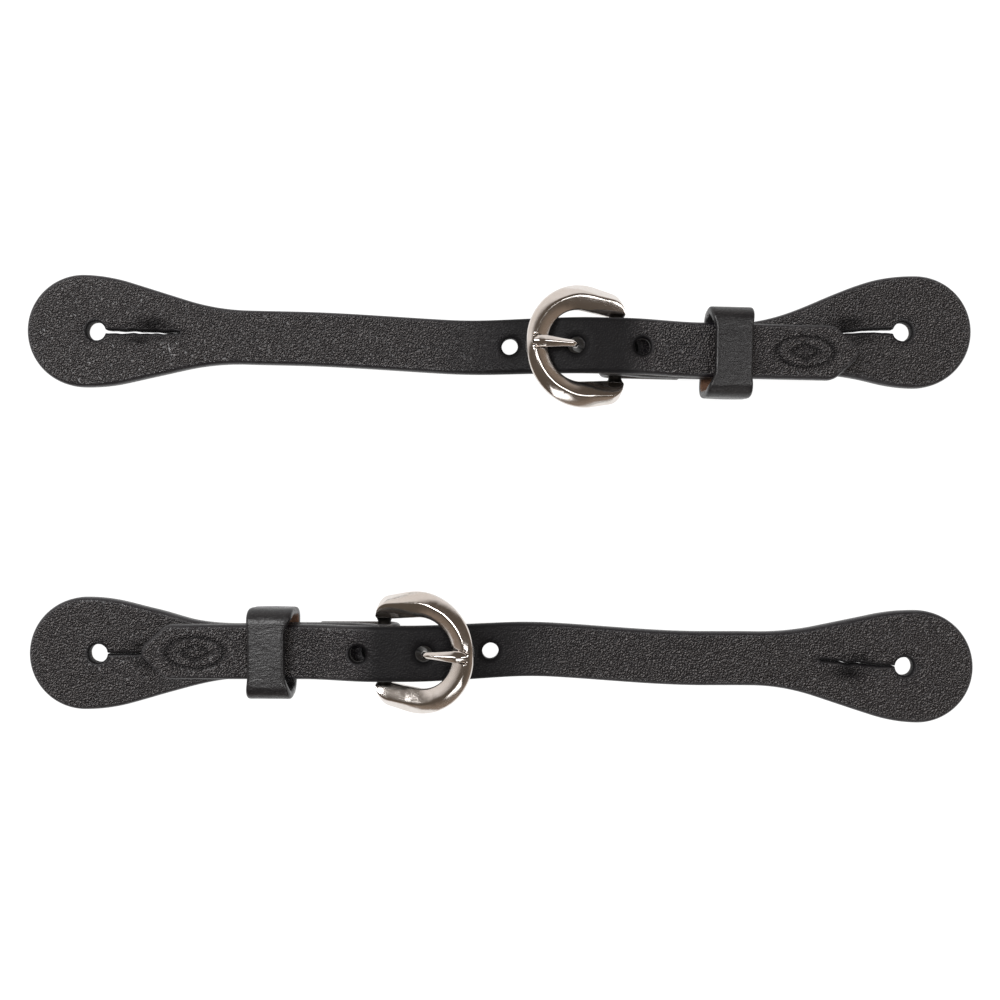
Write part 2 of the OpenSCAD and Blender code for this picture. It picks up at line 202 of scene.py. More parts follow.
def distance(points, loop):
    """Distance from each point to a closed loop."""
    a = loop
    ab = np.roll(loop, -1, 0) - a
    length2 = np.sum(ab * ab, 1) + 1e-12
    out = np.empty(len(points))
    for i in range(0, len(points), 2000):
        p = points[i:i + 2000, None, :]
        t = np.clip(np.sum((p - a) * ab, 2) / length2, 0, 1)
        q = p - a - t[..., None] * ab
        out[i:i + 2000] = np.sqrt(np.min(np.sum(q * q, 2), 1))
    return out


def inside(points, loop):
    a, b = loop, np.roll(loop, -1, 0)
    out = np.empty(len(points), bool)
    for i in range(0, len(points), 2000):
        x = points[i:i + 2000, 0:1]
        y = points[i:i + 2000, 1:2]
        cross = (a[:, 1] > y) != (b[:, 1] > y)
        at = (b[:, 0] - a[:, 0]) * (y - a[:, 1]) / (b[:, 1] - a[:, 1] + 1e-15) + a[:, 0]
        out[i:i + 2000] = np.sum(cross & (x < at), 1) % 2 == 1
    return out


def noise_at(places):
    """Smooth noise from -1 to 1."""
    return np.array([noise.noise(Vector(p)) for p in places])


def wobble(x, y, scale, seed):
    return noise_at((a / scale, b / scale, seed) for a, b in zip(x, y))


def new_piece(side, name, body, node, points, faces, material, attributes, sharp):
    """A mesh piece in the place of a CAD node. sharp is the angle in degrees of hard edges."""
    name = side + name
    mesh = bpy.data.meshes.new(name)
    mesh.from_pydata(to_world(side, points).tolist(), [], faces)
    mesh.validate()
    for key, values in attributes.items():
        layer = mesh.attributes.new(key, "FLOAT", "POINT")
        layer.data.foreach_set("value", np.asarray(values, np.float32))
    mesh.shade_smooth()
    mesh.set_sharp_from_angle(angle=math.radians(sharp))
    mesh.materials.append(material)
    obj = bpy.data.objects.new(name, mesh)
    bpy.context.scene.collection.objects.link(obj)
    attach(obj, side + body)
    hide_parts(side + node)


# ---- flat leather sheets
EDGE_RINGS = [0.07, 0.26, 0.55, 0.9, 1.4, 2.1]
HOLE_RINGS = [0.07, 0.26, 0.55, 0.95, 1.5]
# row spacing of a triangular grid, and the spacing of mesh points
ROW = 0.866
OUTLINE_STEP = 0.5
SLOT_STEP = 0.4
SLIT_STEP = 0.36
GRID = 0.85
STAMP_GRID = 0.27
STAMP_PATCH = (44.6, -5.6, 64.6, 5.6)
# edges sharper than this, in degrees, stay hard
SHARP_LEATHER = 50
SHARP_METAL = 60

# relief of the leather, in mm: how deep or high and how far it reaches
TOP_ROUND = 1.25
UNDER_ROUND = 0.55
HOLE_ROUND = 0.45
HOLE_UNDER_ROUND = 0.3
EDGE_SAG, EDGE_SAG_REACH = 0.16, 1.6
HOLE_DISH, HOLE_DISH_REACH = 0.42, 1.5
HOLE_RIM, HOLE_RIM_AT, HOLE_RIM_REACH = 0.1, 2.4, 1.3
WAVE, WAVE_LONG = 0.16, 9.0
RIPPLE, RIPPLE_LONG = 0.035, 3.2
WAVE_FADE = 3
PADDLE_CURL = 0.125
TONGUE_PULL = 0.3
HOLE_RAGGED = 0.035


def sheet(outline, holes, grid, fine=None):
    """Triangulates a plan with holes. Returns points, triangles, loops as index lists and the
    distance from each point to the outline and to each hole."""
    outline = oriented(outline, True)
    holes = [oriented(h, False) for h in holes]
    loops = [outline] + holes
    points, edges, index = [], [], []
    start = 0
    for loop in loops:
        n = len(loop)
        points.append(loop)
        index.append(list(range(start, start + n)))
        edges += [(start + i, start + (i + 1) % n) for i in range(n)]
        start += n
    extra = []
    for k, loop in enumerate(loops):
        normal = inward(loop)
        for ring in (EDGE_RINGS if k == 0 else HOLE_RINGS):
            p = loop + normal * ring
            near = np.min([distance(p, other) for other in loops], 0)
            extra.append(p[near > 0.9 * ring])
    low, high = outline.min(0), outline.max(0)
    xs = np.arange(low[0], high[0], grid)
    ys = np.arange(low[1], high[1], grid * ROW)
    gx, gy = np.meshgrid(xs, ys)
    gx[1::2] += grid / 2
    inner = np.stack([gx.ravel(), gy.ravel()], 1)
    near = np.min([distance(inner, other) for other in loops], 0)
    inner = inner[near > EDGE_RINGS[-1] + 0.4 * grid]
    if fine is not None:
        x0, y0, x1, y1, g = fine
        out = (inner[:, 0] < x0) | (inner[:, 0] > x1) | (inner[:, 1] < y0) | (inner[:, 1] > y1)
        inner = inner[out]
        fx, fy = np.meshgrid(np.arange(x0, x1, g), np.arange(y0, y1, g * ROW))
        fx[1::2] += g / 2
        inner = np.vstack([inner, np.stack([fx.ravel(), fy.ravel()], 1)])
    extra.append(inner)
    extra = np.vstack(extra)
    keep = inside(extra, outline)
    for hole in holes:
        keep &= ~inside(extra, hole)
    points = np.vstack(points + [extra[keep]])
    verts, _, tris, source, _, _ = geometry.delaunay_2d_cdt(
        [Vector(p) for p in points], edges, [], 0, 1e-5)
    order = np.array([s[0] if s else -1 for s in source])
    verts = np.array([(v.x, v.y) for v in verts])
    back = {int(o): i for i, o in enumerate(order) if o >= 0}
    loops_at = [[back[i] for i in loop] for loop in index]
    tris = np.array([t for t in tris if len(t) == 3])
    centre = verts[tris].mean(1)
    keep = inside(centre, outline)
    for hole in holes:
        keep &= ~inside(centre, hole)
    tris = tris[keep]
    a, b, c = verts[tris[:, 0]], verts[tris[:, 1]], verts[tris[:, 2]]
    turn = (b[:, 0] - a[:, 0]) * (c[:, 1] - a[:, 1]) - (b[:, 1] - a[:, 1]) * (c[:, 0] - a[:, 0])
    tris[turn < 0] = tris[turn < 0][:, ::-1]
    near = [distance(verts, loop) for loop in loops]
    return verts, tris, loops_at, near


def round_edge(d, r):
    """How far a rounded edge has dropped at distance d from it."""
    u = np.clip(1 - d / r, 0, 1)
    return r * (1 - np.sqrt(1 - u * u))


def solid_sheet(plan, top, bottom, place):
    """A closed sheet: top and bottom are heights through the leather, place maps
    (x, v, height) to local mm."""
    verts, tris, loops, _ = plan
    n = len(verts)
    points = np.vstack([place(verts[:, 0], verts[:, 1], top),
                        place(verts[:, 0], verts[:, 1], bottom)])
    faces = [tuple(t) for t in tris.tolist()]
    faces += [(c + n, b + n, a + n) for a, b, c in tris.tolist()]
    for loop in loops:
        for i, a in enumerate(loop):
            b = loop[(i + 1) % len(loop)]
            faces.append((a, a + n, b + n, b))
    return points, faces


def keyhole(cx, r, reach, open_w, shut_w, bend, wave, seed):
    """A button hole with its slit, running by reach along x."""
    way = math.copysign(1, reach)
    half = np.linspace(0, 1, 70)
    start = r * 0.92
    xs = start + (abs(reach) + r - start) * half
    middle = bend * half ** 1.5
    middle = middle + wave * noise_at((x / 3.1, seed, 0) for x in xs)
    middle = middle - middle[0] * (1 - half)
    width = shut_w + (open_w - shut_w) * (1 - half) ** 1.2
    ragged = noise_at((x / 1.3, seed + 5, 2) for x in xs)
    width = width * (1 + 0.25 * ragged) * np.sqrt(np.clip((1 - half) * 14, 0.05, 1))
    opening = math.degrees(math.asin(min(0.9, open_w / 2 / r)))
    ring = arc(0, 0, r, opening + 4, 360 - opening - 4, 60)
    lump = wobble(*ring.T, 1.6, seed + 9)
    ring = ring * (1 + 0.03 * lump)[:, None]
    upper = np.stack([xs, middle + width / 2], 1)
    lower = np.stack([xs, middle - width / 2], 1)
    loop = np.vstack([ring, lower, upper[::-1]])
    loop = resample(soften(resample(loop, 1.25 * SLIT_STEP)), SLIT_STEP)
    return loop * [way, 1] + [cx, 0]


def punched(cx, r, seed):
    """A punched hole with a slightly ragged rim."""
    ring = arc(0, 0, r, 0, 360, 48)[:-1]
    lump = wobble(*ring.T, 1.8, seed)
    return ring * (1 + HOLE_RAGGED * lump)[:, None] + [cx, 0]


def paddle_side():
    """One side of a paddle as (distance from the centre towards the strap, half width)."""
    cos_n, sin_n = math.cos(math.radians(NECK_ANGLE)), math.sin(math.radians(NECK_ANGLE))
    straight = (PADDLE_R - HALF_W - (SHOULDER_R + NECK_R) * (1 - cos_n)) / sin_n
    top = (SHOULDER_R * sin_n, PADDLE_R - SHOULDER_R * (1 - cos_n))
    neck_end = top[0] + straight * cos_n + NECK_R * sin_n
    return np.vstack([
        arc(0, 0, PADDLE_R, 180, 90, 60),
        arc(0, PADDLE_R - SHOULDER_R, SHOULDER_R, 89, 90 - NECK_ANGLE, 16),
        arc(neck_end, HALF_W + NECK_R, NECK_R, 270 - NECK_ANGLE, 270, 20),
    ])


def tip_side():
    cos_t, sin_t = math.cos(math.radians(TIP_ANGLE)), math.sin(math.radians(TIP_ANGLE))
    drop = HALF_W - TIP_SHOULDER_R * (1 - cos_t) - TIP_R * cos_t
    run = TIP_SHOULDER_R * sin_t + drop / math.tan(math.radians(TIP_ANGLE)) - TIP_R * sin_t
    centre = TIP_REACH - TIP_R
    return np.vstack([
        arc(centre - run, HALF_W - TIP_SHOULDER_R, TIP_SHOULDER_R, 90, 90 - TIP_ANGLE, 12),
        arc(centre, 0, TIP_R, 90 - TIP_ANGLE, 0, 10),
    ])


def mirrored(side):
    """A closed outline from its upper half."""
    return np.vstack([side, side[::-1][1:-1] * [1, -1]])


def leather_height(plan, seed):
    """Top and bottom heights with rounded edges, dips round the holes and soft waves."""
    verts, _, _, near = plan
    x, y = verts[:, 0], verts[:, 1]
    outer = near[0]
    hole = np.min(near[1:], 0)
    top = LEATHER_T - round_edge(outer, TOP_ROUND) - round_edge(hole, HOLE_ROUND)
    top -= EDGE_SAG * np.exp(-outer / EDGE_SAG_REACH)
    rim = HOLE_RIM * bell(hole - HOLE_RIM_AT, HOLE_RIM_REACH)
    top -= HOLE_DISH * bell(hole, HOLE_DISH_REACH) - rim
    wave = wobble(x, y, WAVE_LONG, seed) * WAVE
    wave = wave + wobble(x, y, RIPPLE_LONG, seed + 3) * RIPPLE
    top += wave * np.clip(outer / WAVE_FADE, 0, 1)
    bottom = round_edge(outer, UNDER_ROUND) + round_edge(hole, HOLE_UNDER_ROUND)
    return top, bottom


STAMP_LINE = 0.5
OVAL_DEPTH, OVAL_AT = 0.32, 0.93
OVAL_RIM, OVAL_RIM_AT, OVAL_RIM_REACH = 0.09, 1.1, 0.6
LOZENGE_DEPTH, LOZENGE_FLOOR, LOZENGE_AT, LOZENGE_INNER = 0.28, 0.1, 0.98, 0.9


def stamp_depth(x, y):
    """A plain oval line with a lozenge in it."""
    u, v = (x - STAMP_X) / STAMP_A, y / STAMP_B
    ring = np.abs(np.hypot(u, v) - OVAL_AT) * STAMP_B
    oval = OVAL_DEPTH * bell(ring, STAMP_LINE)
    far = np.abs(u) * 2 + np.abs(v) * 2
    lozenge = LOZENGE_DEPTH * bell(np.abs(far - LOZENGE_AT) * 2.1, STAMP_LINE)
    inner = LOZENGE_FLOOR / (1 + np.exp(np.minimum((far - LOZENGE_INNER) * 14, 60)))
    rim = OVAL_RIM * bell(ring - OVAL_RIM_AT, OVAL_RIM_REACH)
    return oval + (lozenge + inner) - rim


def sheet_attributes(plan, grain, painted_shade):
    """Values the leather material reads, for the top points and then the bottom points."""
    verts, _, _, near = plan
    edge = np.clip(np.minimum(near[0], np.min(near[1:], 0) * 1.3), 0, 6)
    n = len(verts)
    return {
        "edge": np.r_[edge, edge],
        "under": np.r_[np.zeros(n), np.ones(n)],
        "grain": np.r_[grain, grain],
        "painted_shade": np.r_[painted_shade, painted_shade],
    }


# ---- billet: the long strap
SLITS = {
    ("left", "billet"): dict(open_w=0.95, shut_w=0.3, bend=0.5, wave=0.35),
    ("left", "chape"): dict(open_w=1.15, shut_w=0.06, bend=0.0, wave=0.12),
    ("right", "billet"): dict(open_w=0.22, shut_w=0.14, bend=-0.7, wave=0.6),
    ("right", "chape"): dict(open_w=0.3, shut_w=0.12, bend=0.0, wave=0.3),
}
BILLET_SAG, BILLET_LIP = 0.45, 0.22
CHAPE_SAG, CHAPE_LIP = 0.35, -0.2

# the smooth stretch of the billet inside the buckle, with painted shade there and in the stamped
# lines
SMOOTH_START = (-60, -28)
SMOOTH_END = (0, 12)
SMOOTH_GRAIN = 0.8
SMOOTH_PAINTED_SHADE = 0.85
STAMP_PAINTED_SHADE = 2.2


def slit_valley(x, y, cx, reach, deep, lip):
    """The leather sags along the slit and one lip stands a little higher."""
    way = math.copysign(1, reach)
    along = np.clip((x - cx) * way / (abs(reach) + BUTTON_R), -0.4, 1.3)
    place = bell(along - 0.62, 0.36)
    valley = -deep * bell(y, 3.4) * place
    return valley + lip * np.tanh(y / 0.8) * bell(y, 4.2) * place


def painted_shade_places(plan, x, y, cx, reach):
    """Painted shade where the leather lies in its own shade: round the holes and beside the
    slit.
    """
    way = math.copysign(1, reach)
    along = (x - cx) * way / (abs(reach) + BUTTON_R)
    upper = bell(along - 0.66, 0.2) * bell(y - 2.6, 2.0)
    lower = bell(along - 0.5, 0.14) * bell(y + 2.4, 1.3)
    slit = bell(np.min(plan[3][1:], 0), 0.7)
    return np.clip(upper + 0.8 * lower + 0.9 * slit, 0, 1)


def make_billet(side, material):
    seed = SIDES[side]["seed"]
    centre = PADDLE_R - BILLET_LEN
    paddle = paddle_side() + [centre, 0]
    outline = resample(mirrored(np.vstack([paddle, tip_side()])), OUTLINE_STEP)
    button = centre + BUTTON_INSET
    holes = [keyhole(button, BUTTON_R, SLIT_LEN, seed=seed, **SLITS[side, "billet"])]
    for i in (-1, 0, 1):
        holes.append(punched(i * HOLE_PITCH - TONGUE_HOLE, HOLE_R, seed + i))
    plan = sheet(outline, holes, GRID, fine=(*STAMP_PATCH, STAMP_GRID))
    x, y = plan[0][:, 0], plan[0][:, 1]
    top, bottom = leather_height(plan, seed)
    top -= stamp_depth(x, y)
    lift = slit_valley(x, y, button, SLIT_LEN, BILLET_SAG, BILLET_LIP)
    paddle_part = 1 - s_curve(x, centre - 2, centre + 34)
    outer_part = np.clip((np.hypot(x - centre, y) - 6) / PADDLE_R, 0, 1)
    top += lift + PADDLE_CURL * paddle_part * outer_part ** 2
    # the tongue pulls the leather down beside its hole
    top -= TONGUE_PULL * bell(x + TONGUE_HOLE + 3, 2.4) * bell(y, 2.2)

    def place(px, pv, h):
        z = billet_under(px) + h
        return np.stack([px, pv + billet_drift(side, px), z], 1)

    points, faces = solid_sheet(plan, top, bottom, place)
    smooth_part = s_curve(x, *SMOOTH_START) * (1 - s_curve(x, *SMOOTH_END))
    grain = 1 - SMOOTH_GRAIN * smooth_part
    # painted shade beside the slit, inside the buckle and in the stamped lines
    painted_shade = painted_shade_places(plan, x, y, button, SLIT_LEN) + SMOOTH_PAINTED_SHADE * smooth_part
    painted_shade = np.clip(painted_shade + STAMP_PAINTED_SHADE * np.clip(stamp_depth(x, y), 0, 1), 0, 1)
    values = sheet_attributes(plan, grain, painted_shade)
    new_piece(side, "_billet_leather", "_billet", "_billet_strap",
              points, faces, material, values, SHARP_LEATHER)


# ---- chape: folds round the bar
FLAT_FROM = 14.0
BEND_REACH = 2.4


def chape_profile():
    """Mid line of the folded strap by distance s, which equals x on the upper layer."""
    mid_r = (BAR_R + 0.05 + FOLD_R) / 2
    leave = math.radians(LEAVE_ANGLE)
    slope = math.radians(90 - LEAVE_ANGLE)
    flat_z = CHAPE_Z + LEATHER_T / 2
    start = np.array([mid_r * math.cos(leave), BAR_Z + mid_r * math.sin(leave)])
    corner = np.array([start[0] + (start[1] - flat_z) / math.tan(slope), flat_z])
    down = np.array([math.cos(slope), -math.sin(slope)])
    t = np.linspace(0, 1, 13)[:, None]
    bend = ((1 - t) ** 2 * (corner - BEND_REACH * down) + 2 * t * (1 - t) * corner
            + t * t * (corner + [BEND_REACH, 0]))
    line = np.vstack([
        [[FLAT_FROM, flat_z]],
        bend[::-1],
        resample_open(np.vstack([corner - BEND_REACH * down, start]), 12)[1:],
        arc(0, BAR_Z, mid_r, LEAVE_ANGLE, 270, 60)[1:],
        resample_open(np.array([[0, FOLD_T / 2], [TURNBACK_LEN, TURNBACK_T / 2]]), 24)[1:],
    ])
    gap = np.r_[0, np.cumsum(np.linalg.norm(np.diff(line, axis=0), axis=1))]
    s = FLAT_FROM - gap
    return s[::-1], line[::-1]


PROFILE_S, PROFILE = chape_profile()
TURNBACK_END = PROFILE_S[0]


def chape_mid(s):
    """Mid line point at s."""
    s = np.asarray(s, float)
    z_far = CHAPE_Z * (1 - s_curve(s, *CHAPE_FALL)) + LEATHER_T / 2
    x = np.where(s > FLAT_FROM, s, np.interp(s, PROFILE_S, PROFILE[:, 0]))
    z = np.where(s > FLAT_FROM, z_far, np.interp(s, PROFILE_S, PROFILE[:, 1]))
    return x, z


def chape_place(side):
    """A map from (s, v, height through the leather) to local mm."""
    drift = SIDES[side]["chape_drift"]

    def place(s, v, h):
        x, z = chape_mid(s)
        xa, za = chape_mid(s - 0.3)
        xb, zb = chape_mid(s + 0.3)
        dx, dz = xb - xa, zb - za
        length = np.hypot(dx, dz) + 1e-9
        nx, nz = -dz / length, dx / length
        flat = s > FLAT_FROM - 1
        nx, nz = np.where(flat, 0, nx), np.where(flat, 1, nz)
        thick = np.interp(s, [TURNBACK_END, TURNBACK_END + 10, TURNBACK_END + 20, -2, 9],
                          [TURNBACK_T, TURNBACK_T, FOLD_T, FOLD_T, LEATHER_T])
        w = (h / LEATHER_T - 0.5) * thick
        y = v + drift * s_curve(x, *CHAPE_DRIFT) * (s > 10)
        return np.stack([x + nx * w, y, z + nz * w], 1)

    return place


def slot_loop():
    """The tongue slot, along s, from the upper layer round to the turnback."""
    upper = np.interp(-SLOT_REACH, -PROFILE[::-1, 0][:26], PROFILE_S[::-1][:26])
    turn = PROFILE_S[PROFILE[:, 1] < 3]
    turn_x = PROFILE[PROFILE[:, 1] < 3][:, 0]
    lower = np.interp(-SLOT_REACH, -turn_x, turn)
    r = SLOT_W / 2
    return np.vstack([arc(upper - r, 0, r, -90, 90, 16), arc(lower + r, 0, r, 90, 270, 16)])


def make_chape(side, material):
    seed = SIDES[side]["seed"] + 20
    centre = CHAPE_LEN - PADDLE_R
    paddle = paddle_side()[::-1] * [-1, 1] + [centre, 0]
    end = np.array([[TURNBACK_END, 0], [TURNBACK_END, 7.2], [TURNBACK_END + 0.8, HALF_W]])
    outline = resample(mirrored(np.vstack([end, paddle])), OUTLINE_STEP)
    button = centre - BUTTON_INSET
    holes = [
        keyhole(button, BUTTON_R, -SLIT_LEN, seed=seed, **SLITS[side, "chape"]),
        resample(slot_loop(), SLOT_STEP),
    ]
    plan = sheet(outline, holes, GRID)
    x, y = plan[0][:, 0], plan[0][:, 1]
    top, bottom = leather_height(plan, seed)
    hole = np.min(plan[3][1:], 0)
    even = LEATHER_T - round_edge(plan[3][0], TOP_ROUND) - round_edge(hole, HOLE_ROUND)
    upper = x > 12
    top = np.where(upper, top, even - 0.02)
    top += slit_valley(x, y, button, -SLIT_LEN, CHAPE_SAG, CHAPE_LIP) * s_curve(x, 62, 72)
    points, faces = solid_sheet(plan, top, bottom, chape_place(side))
    points[:, 2] = np.maximum(points[:, 2], 0)
    grain = np.where(upper, 1.0, 0.35)
    # painted shade round the holes and beside the slit
    painted_shade = painted_shade_places(plan, x, y, button, -SLIT_LEN)
    values = sheet_attributes(plan, grain, painted_shade)
    new_piece(side, "_chape_leather", "_chape", "_chape_strap",
              points, faces, material, values, SHARP_LEATHER)


# ---- lofted metal
def round_corners(corners, steps=4):
    """corners: (x, y, radius) round a closed section."""
    out = []
    n = len(corners)
    for i in range(n):
        p = np.array(corners[i][:2])
        a = np.array(corners[i - 1][:2]) - p
        b = np.array(corners[(i + 1) % n][:2]) - p
        la, lb = np.linalg.norm(a), np.linalg.norm(b)
        cut = min(corners[i][2], 0.45 * la, 0.45 * lb)
        p0, p1 = p + a / la * cut, p + b / lb * cut
        for t in np.linspace(0, 1, steps + 1):
            out.append((1 - t) ** 2 * p0 + 2 * t * (1 - t) * p + t * t * p1)
    return np.array(out)


def loft(rings, closed=False):
    """Quads between equal rings; caps the ends unless closed."""
    rings = np.asarray(rings)
    m, n = rings.shape[:2]
    points = rings.reshape(-1, 3)
    faces = []
    for i in range(m if closed else m - 1):
        j = (i + 1) % m
        for k in range(n):
            q = (k + 1) % n
            faces.append((i * n + k, i * n + q, j * n + q, j * n + k))
    if not closed:
        for ring, turn in ((0, True), (m - 1, False)):
            centre = len(points)
            points = np.vstack([points, rings[ring].mean(0)])
            for k in range(n):
                q = (k + 1) % n
                tri = (centre, ring * n + q, ring * n + k) if turn else \
                      (centre, ring * n + k, ring * n + q)
                faces.append(tri)
    return points, faces


def tilted(p):
    """Frame coordinates (x, y, height above its underside) to local mm."""
    c, s = math.cos(TILT), math.sin(TILT)
    z = p[:, 2] - FRAME_LOW
    return np.stack([p[:, 0] * c + z * s, p[:, 1], BAR_Z - p[:, 0] * s + z * c], 1)


def bow_stations():
    """Half of the bow: outer and inner plan points from the front to the heel."""
    corner_x, corner_y = HEEL_CORNER
    opening_x = OPENING_R - BOW_INNER
    outer = [
        arc(BOW_X, 0, BOW_R, 180, 94, 60),
        np.vstack([arc(BOW_X, 0, BOW_R, 94, HEEL_TANGENT, 20),
                   arc(corner_x, corner_y, HEEL_CORNER_R, HEEL_TANGENT, 42, 12)]),
        np.vstack([arc(corner_x, corner_y, HEEL_CORNER_R, 42, 4, 16), [[HEEL_END, 10.6]]]),
    ]
    inner = [
        arc(opening_x, 0, OPENING_R, 180, 90, 60),
        np.array([[opening_x, OPENING_R], [-0.5, OPENING_HEEL + 0.04]]),
        np.array([[-0.5, OPENING_HEEL + 0.04], [HEEL_END - 0.2, OPENING_HEEL]]),
    ]
    counts = [120, 34, 14]
    rows = []
    for o, i, n in zip(outer, inner, counts):
        o, i = resample_open(o, n), resample_open(i, n)
        rows.append(np.hstack([o, i])[1 if rows else 0:])
    return np.vstack(rows)


# the bow's section by its place, from 0 at the front to 1 at the heel
RIDGE_AT = ([0, 0.2, 0.45, 0.7, 1], [0.77, 0.66, 0.55, 0.6, 0.75])
RIDGE_HIGH = ([0, 0.7, 1], [FRAME_H, FRAME_H, 3.3])
INNER_HIGH = ([0, 0.7, 1], [2.5, 2.4, 2.1])
INNER_RELIEF = ([0, 0.55, 1], [1.2, 1.0, 0.1])


def bow_section(outer, inner, at):
    """Section across the bow: a rounded ridge between two slopes, hollowed underneath."""
    across = outer - inner
    width = np.linalg.norm(across)
    ridge = width * np.interp(at, *RIDGE_AT)
    high = np.interp(at, *RIDGE_HIGH)
    inner_z = np.interp(at, *INNER_HIGH)
    relief = np.interp(at, *INNER_RELIEF)
    corners = [
        (0.0, relief, 0.35), (-0.02, inner_z - 0.1, 0.4),
        (ridge * 0.55, inner_z + (high - inner_z) * 0.62, 1.0),
        (ridge, high, 0.55),
        (ridge + (width - ridge) * 0.55, high - (high - 1.6) * 0.46, 1.0),
        (width, 1.6, 0.5), (width, 0.8, 0.4), (width - min(0.8, width * 0.25), 0, 0.3),
        (min(ridge, width * 0.6), 0, 0.5),
    ]
    return round_corners(corners), across / width


def bow_rings():
    """Sections from one heel end of the bow round the front to the other."""
    half = bow_stations()
    step = np.r_[0, np.cumsum(np.linalg.norm(np.diff(half[:, :2], axis=0), axis=1))]
    at = step / step[-1]
    rings = []
    for sign in (1, -1):
        part = []
        for (ox, oy, ix, iy), a in zip(half, at):
            section, across = bow_section(np.array([ox, oy]), np.array([ix, iy]), a)
            plan = np.array([ix, iy]) + section[:, :1] * across
            part.append(np.stack([plan[:, 0], sign * plan[:, 1], section[:, 1]], 1))
        rings.append(part)
    return rings[1][::-1] + rings[0][1:]


def notch(points):
    """The tongue's notch: the inner slope is pressed down as far as the ridge."""
    y = np.abs(points[:, 1])
    wall = 4 * np.clip((y - 1.7) / 0.7, 0, None) ** 1.5
    end = 9 * np.clip((NOTCH_END - points[:, 0]) / 0.45, 0, None) ** 1.5
    floor = BAR_Z + NOTCH_Z - 0.04 + wall + end
    front = (points[:, 0] < -16) & (y < 3.2)
    out = points.copy()
    out[:, 2] = np.where(front, np.minimum(points[:, 2], floor), points[:, 2])
    return out


BAR_INTO_BOW = 0.7
BAR_FLARE, BAR_FLARE_LEN = 0.35, 1.4


def bar_rings():
    """The heel bar, which flares where it meets the bow."""
    half = OPENING_HEEL + BAR_INTO_BOW
    a = np.linspace(0, 2 * np.pi, 40, endpoint=False)
    rings = []
    for y in np.r_[-half, np.linspace(-half + 0.4, half - 0.4, 24), half]:
        flare = 1 + BAR_FLARE * max(0, (abs(y) - half + BAR_FLARE_LEN) / BAR_FLARE_LEN) ** 2
        r = BAR_R * flare
        rings.append(np.stack([r * np.cos(a), np.full(40, y), BAR_Z + r * np.sin(a)], 1))
    return rings


def join_meshes(parts):
    points, faces, start = [], [], 0
    for p, f in parts:
        points.append(p)
        faces += [tuple(i + start for i in face) for face in f]
        start += len(p)
    return np.vstack(points), faces


def outward(points, faces):
    """Turns the faces of a closed part to face out."""
    total = 0.0
    for f in faces:
        a = points[f[0]]
        for i in range(1, len(f) - 1):
            total += np.dot(a, np.cross(points[f[i]], points[f[i + 1]]))
    return faces if total > 0 else [tuple(reversed(f)) for f in faces]


def make_frame(side, material):
    points, faces = loft(bow_rings())
    points = notch(tilted(points))
    faces = outward(points, faces)
    bar, bar_faces = loft(bar_rings())
    bar_faces = outward(bar, bar_faces)
    # painted shade: the heel bar is coloured dark all over, as if in the shade of the folded
    # strap
    deep = np.r_[np.zeros(len(points)), np.ones(len(bar))]
    points, faces = join_meshes([(points, faces), (bar, bar_faces)])
    new_piece(side, "_buckle_bow", "_frame", "_buckle_frame",
              points, faces, material, {"deep": deep}, SHARP_METAL)


def tongue_point(a):
    """Where the hole's edge meets the tongue once the tongue has swung by a."""
    x = -TONGUE_HOLE + TONGUE_H * a
    return [x * math.cos(a) - TONGUE_H * math.sin(a), x * math.sin(a) + TONGUE_H * math.cos(a)]


def tongue_line():
    """Mid line of the prong in (x, height above the bar), from the eye to the tip."""
    swing = TONGUE_TRAVEL / TONGUE_H
    rise = [tongue_point(swing * i / 24) for i in range(24, -1, -1)]
    knee = arc(-TONGUE_HOLE - KNEE_R, KNEE_Z, KNEE_R, 0, KNEE_ANGLE, 14)
    tip = [[REST[0], REST[1]], [REST[0] - TIP_OVERHANG, REST[1] + 0.1]]
    line = np.vstack([[[-2.0, -0.3], [-3.6, -1.35]], rise[1:], knee[1:], tip])
    line = resample_open(line, 120)
    for _ in range(6):
        line[1:-1] = 0.25 * line[:-2] + 0.5 * line[1:-1] + 0.25 * line[2:]
    return line


# the prong's width and its half heights by the distance back from its tip
PRONG_WIDTH = ([0, 0.5, 1.4, 3.2, 8.5, 11.5, 40], [1.3, 2.2, 3.2, 3.5, 2.5, 2.1, 2.2])
PRONG_UNDER = ([0, 0.6, 1.6, 40], [0.62, 0.85, 1.0, 1.0])
PRONG_CREST = ([0, 1.2, 3.0, 9, 12], [0.35, 0.85, 1.0, 1.0, 0.85])


def tongue_rings():
    line = tongue_line()
    run = np.r_[0, np.cumsum(np.linalg.norm(np.diff(line, axis=0), axis=1))]
    left = run[-1] - run
    d = np.gradient(line, axis=0)
    d /= np.linalg.norm(d, axis=1)[:, None]
    rings = []
    for (x, z), (dx, dz), back in zip(line, d, left):
        h = np.interp(back, *PRONG_WIDTH) / 2
        t = np.interp(back, *PRONG_UNDER)
        crest = np.interp(back, *PRONG_CREST)
        corners = [
            (-h * 0.8, -t, 0.25), (-h, -t * 0.35, 0.3), (-h * 0.94, t * 0.12, 0.3),
            (0, crest, 0.4),
            (h * 0.94, t * 0.12, 0.3), (h, -t * 0.35, 0.3), (h * 0.8, -t, 0.25),
        ]
        section = round_corners(corners)
        nx, nz = dz, -dx
        rings.append(np.stack([x + nx * section[:, 1], section[:, 0],
                               BAR_Z + z + nz * section[:, 1]], 1))
    return rings


EYE_INNER = BAR_R + 0.06
EYE_R = 3.1
EYE_HALF_W = 1.75


